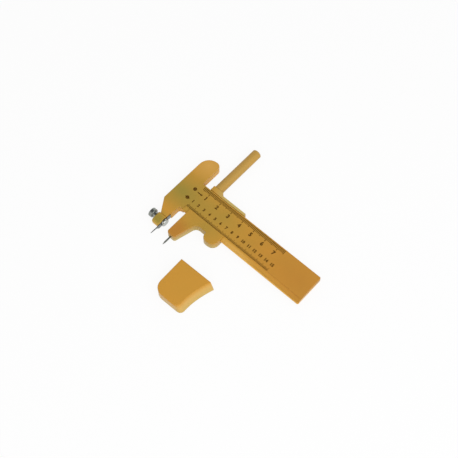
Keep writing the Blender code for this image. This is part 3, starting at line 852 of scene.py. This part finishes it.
@dataclass
class Studio:
    """White table and surroundings, one large soft lamp, and the camera of the photograph."""

    ambient: float = 0.6
    floor_size: float = 6.0
    floor_tone: str = "#F2F2F2"
    floor_roughness: float = 0.9
    floor_glow: float = 0.9
    lamp_place: tuple[float, float, float] = (0.5, -0.2, 0.55)
    lamp_size: float = 1.1
    lamp_power: float = 4.6
    flag_size: float = 0.9
    flag_place: tuple[float, float, float] = (-0.17, 0.0, 0.5)
    flag_tone: str = "#7C7C7C"
    aim: tuple[float, float, float] = (36.82 * MM, -2.27 * MM, 6.8 * MM)
    azimuth: float = math.radians(42.168)
    elevation: float = math.radians(63.120)
    distance: float = 600 * MM
    focal_pixels: float = 909.0
    sensor: float = 36.0
    nearest: float = 10 * MM
    farthest: float = 20.0

    def white_to_eye(self, tree: bpy.types.NodeTree) -> bpy.types.NodeSocket:
        """Add the switch that is 1 for what the camera, a mirror or a lens sees.

        Args:
            tree: the material's or the world's tree.

        Returns:
            A socket of 0 or 1.
        """
        rays = add_node(tree, "ShaderNodeLightPath").outputs
        seen = rays["Is Camera Ray"]
        for name in ("Is Glossy Ray", "Is Transmission Ray"):
            seen = add_node(tree, "ShaderNodeMath", {0: seen, 1: rays[name]}, operation="MAXIMUM").outputs[0]
        return seen

    def build_world(self) -> None:
        """Light the scene evenly and show white behind it."""
        world = bpy.data.worlds.new("white_room")
        bpy.context.scene.world = world
        world.use_nodes = True
        tree = world.node_tree
        tree.nodes.clear()
        inputs = {"Value": self.white_to_eye(tree), "To Min": self.ambient, "To Max": 1.0}
        strength = add_node(tree, "ShaderNodeMapRange", inputs).outputs[0]
        sky = add_node(tree, "ShaderNodeBackground", {"Color": srgb(WHITE), "Strength": strength})
        add_node(tree, "ShaderNodeOutputWorld", {"Surface": sky.outputs[0]})

    def square(self, name: str, side: float, place: tuple[float, float, float]) -> bpy.types.Object:
        """Lay a level square.

        Args:
            name: its name.
            side: its side.
            place: its middle.

        Returns:
            The new object.
        """
        half = side / 2
        mesh = bpy.data.meshes.new(name)
        corners = [(-half, -half, 0), (half, -half, 0), (half, half, 0), (-half, half, 0)]
        mesh.from_pydata(corners, [], [(0, 1, 2, 3)])
        mesh.transform(Matrix.Translation(place))
        return linked(name, mesh)

    def build_floor(self) -> None:
        """Lay a white table that keeps a faint shadow."""
        floor = self.square("floor", self.floor_size, (0.0, 0.0, 0.0))
        material, tree = new_material("white_paper_table")
        inputs = {"Base Color": srgb(self.floor_tone), "Roughness": self.floor_roughness}
        paper = add_node(tree, "ShaderNodeBsdfPrincipled", inputs)
        glow = add_node(tree, "ShaderNodeEmission", {"Color": srgb(WHITE), "Strength": 1.0})
        inputs = {0: self.white_to_eye(tree), 1: self.floor_glow}
        share = add_node(tree, "ShaderNodeMath", inputs, operation="MULTIPLY").outputs[0]
        inputs = {0: share, 1: paper.outputs[0], 2: glow.outputs[0]}
        shown = add_node(tree, "ShaderNodeMixShader", inputs)
        add_node(tree, "ShaderNodeOutputMaterial", {"Surface": shown.outputs[0]})
        floor.data.materials.append(material)

    def build_lamp(self) -> None:
        """Hang a square soft lamp that faces the tool."""
        data = bpy.data.lights.new("softbox_right", "AREA")
        data.shape = "SQUARE"
        data.size = self.lamp_size
        data.energy = self.lamp_power
        lamp = linked("softbox_right", data)
        lamp.location = self.lamp_place
        towards = Vector(self.aim) - Vector(self.lamp_place)
        lamp.rotation_euler = towards.to_track_quat("-Z", "Y").to_euler()

    def build_flag(self) -> None:
        """Hang a grey card that only mirrors see, which gives plated metal its dark streaks."""
        flag = self.square("flag", self.flag_size, self.flag_place)
        material, tree = new_material("grey_felt_card")
        inputs = {"Base Color": srgb(self.flag_tone), "Roughness": 1.0}
        felt = add_node(tree, "ShaderNodeBsdfPrincipled", inputs)
        add_node(tree, "ShaderNodeOutputMaterial", {"Surface": felt.outputs[0]})
        flag.data.materials.append(material)
        flag.visible_camera = False
        flag.visible_diffuse = False
        flag.visible_shadow = False

    def build_camera(self) -> None:
        """Set the camera where the printed scale shows the photograph's to have been."""
        data = bpy.data.cameras.new("camera")
        data.sensor_width = self.sensor
        data.lens = self.focal_pixels / IMAGE_PIXELS * data.sensor_width
        data.clip_start = self.nearest
        data.clip_end = self.farthest
        camera = linked("camera", data)
        back = Vector((
            math.sin(self.azimuth) * math.cos(self.elevation),
            -math.cos(self.azimuth) * math.cos(self.elevation),
            math.sin(self.elevation)))
        camera.location = Vector(self.aim) + back * self.distance
        camera.rotation_euler = back.to_track_quat("Z", "Y").to_euler()
        bpy.context.scene.camera = camera

    def build(self) -> None:
        """Set up the table, the light and the camera."""
        bpy.context.scene.view_settings.view_transform = "Standard"
        self.build_world()
        self.build_floor()
        self.build_lamp()
        self.build_flag()
        self.build_camera()


def mouldings() -> list[DressedSolid]:
    """List the plastic mouldings, each with its ejector marks and its tints, some of which are painted
    light: walls painted paler towards the table, and a paler lip and rail.

    Returns:
        The beam, the slider, the handle and the cap.
    """
    beam_patches = (
        Patch(Tint.AMBER, (95, 0, 5), (60, 40, 40), 0.8),
        Patch(Tint.STRAW, (-6, 25, 6), (16, 14, 20), 0.9),
        Patch(Tint.OLIVE, (-6, -2, 6), (28, 17, 30), 1.1),
        Patch(Tint.OLIVE, (-4, -29, 5), (9, 9, 14), 1.4),
        Patch(Tint.OLIVE, (20, 0, 6.8), (34, 16, 20), 0.5),
        # Painted light: the beam's front wall and lower lip beside the slider are painted paler, in place of
        # light on that side.
        Patch(Tint.STRAW, (50, -11.2, 5.4), (18, 2.6, 4), 1.6),
        # Painted light: the beam's walls are painted paler towards the table, in place of light thrown up
        # from the white table.
        Patch(Tint.PALE, (30, 0, 0), (150, 150, 6.8), 1.9),
    )
    slider_patches = (
        Patch(Tint.AMBER, (11, -26, 6), (10, 11, 20), 1.4),
        Patch(Tint.OLIVE, (24, -12, 6), (18, 14, 30), 0.45),
        # Painted reflection: the slider's rail is painted paler, in place of the white reflection along its
        # edge.
        Patch(Tint.WHEAT, (28, 14, 8), (20, 6, 5), 1.8),
        # Painted light: the slider's walls are painted paler towards the table, in place of light thrown up
        # from the white table.
        Patch(Tint.WHEAT, (20, -25, 0), (60, 30, 7), 1.6),
    )
    cap_painted_table_light = (
        # Painted light: both patches paint the cap's walls paler towards the table, in place of light thrown
        # up from the white table.
        Patch(Tint.STRAW, (42, -52, 0), (90, 90, 8.6), 3.0),
        Patch(Tint.WHEAT, (42, -52, 0), (90, 90, 8.6), 0.9),
    )
    head_marks = [(-6, y, 0) for y in (22, 4, -10)]
    beam_marks = [(x, y, 2.6) for x in (46, 94) for y in (-6.5, 6.5)]
    slider_marks = [(x, y, 0) for x in (14, 31) for y in (-8, 8)]
    return [
        DressedSolid(
            "beam", "beam_moulding", "tool", "body_plastic",
            MouldedPlastic("ochre_abs_beam", patches=beam_patches),
            MOULDED_EDGE, EjectorMarks(head_marks + beam_marks)),
        DressedSolid(
            "slider", "slider_moulding", "carriage", "slider_plastic",
            MouldedPlastic("ochre_abs_slider", patches=slider_patches),
            MOULDED_EDGE, EjectorMarks(slider_marks)),
        DressedSolid(
            "handle_rod", "twirl_handle", "carriage", "handle_plastic",
            MouldedPlastic("ochre_abs_handle", warm="#C0964A", olive="#A88F4E")),
        DressedSolid(
            "safety_cap", "cap_moulding", "cap", "cap_plastic",
            MouldedPlastic("ochre_abs_cap", drift_share=0.1, patches=cap_painted_table_light, parting_height=4.35 * MM),
            MOULDED_EDGE),
    ]


def metals() -> list[DressedSolid]:
    """List the metal pieces.

    Returns:
        The clamp's nut, washer and stud, the blade, the needle and the gib spring.
    """
    return [
        DressedSolid(
            "clamp_nut", "knurled_nut", "nut", "nut_nickel",
            WorkedMetal("nickel_plated_knurled_nut", "#A6AAA4", "#787C76", Lay.ALONG_Y, roughness=0.32)),
        DressedSolid(
            "clamp_washer", "washer", "tool", "stud_nickel",
            WorkedMetal("nickel_plated_washer", "#BDBDB5", "#9A9B93", Lay.ALONG_Y)),
        DressedSolid(
            "blade_stud", "slotted_stud", "stud", "stud_nickel",
            WorkedMetal("nickel_plated_turned_stud", "#C6C7C2", "#A2A49E", Lay.ALONG_Y, roughness=0.2)),
        DressedSolid(
            "blade", "cutter_blade", "cutter", "blade_steel",
            WorkedMetal("ground_blade_steel", "#8E9291", "#6A6E6D", Lay.ALONG_Y, roughness=0.3)),
        DressedSolid(
            "needle", "centre_needle", "carriage", "needle_steel",
            WorkedMetal("drawn_needle_steel", "#82857E", "#60635C", Lay.ALONG_Y, roughness=0.26)),
        DressedSolid(
            "gib_spring", "leaf_spring", "carriage", "spring_steel",
            WorkedMetal("tempered_spring_strip", "#8E8C86", "#6C6A64", Lay.ALONG_X, roughness=0.35)),
    ]


def main() -> None:
    """Build the tool, the studio and the camera."""
    logging.basicConfig(level=logging.INFO, format="%(name)s %(message)s")
    for obj in list(bpy.data.objects):
        bpy.data.objects.remove(obj, do_unlink=True)
    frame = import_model()

    for moulding in mouldings():
        moulding.build(frame)
    PrintedScale().build()
    for metal in metals():
        metal.build(frame)
    Studio().build()


if __name__ == "__main__":
    main()
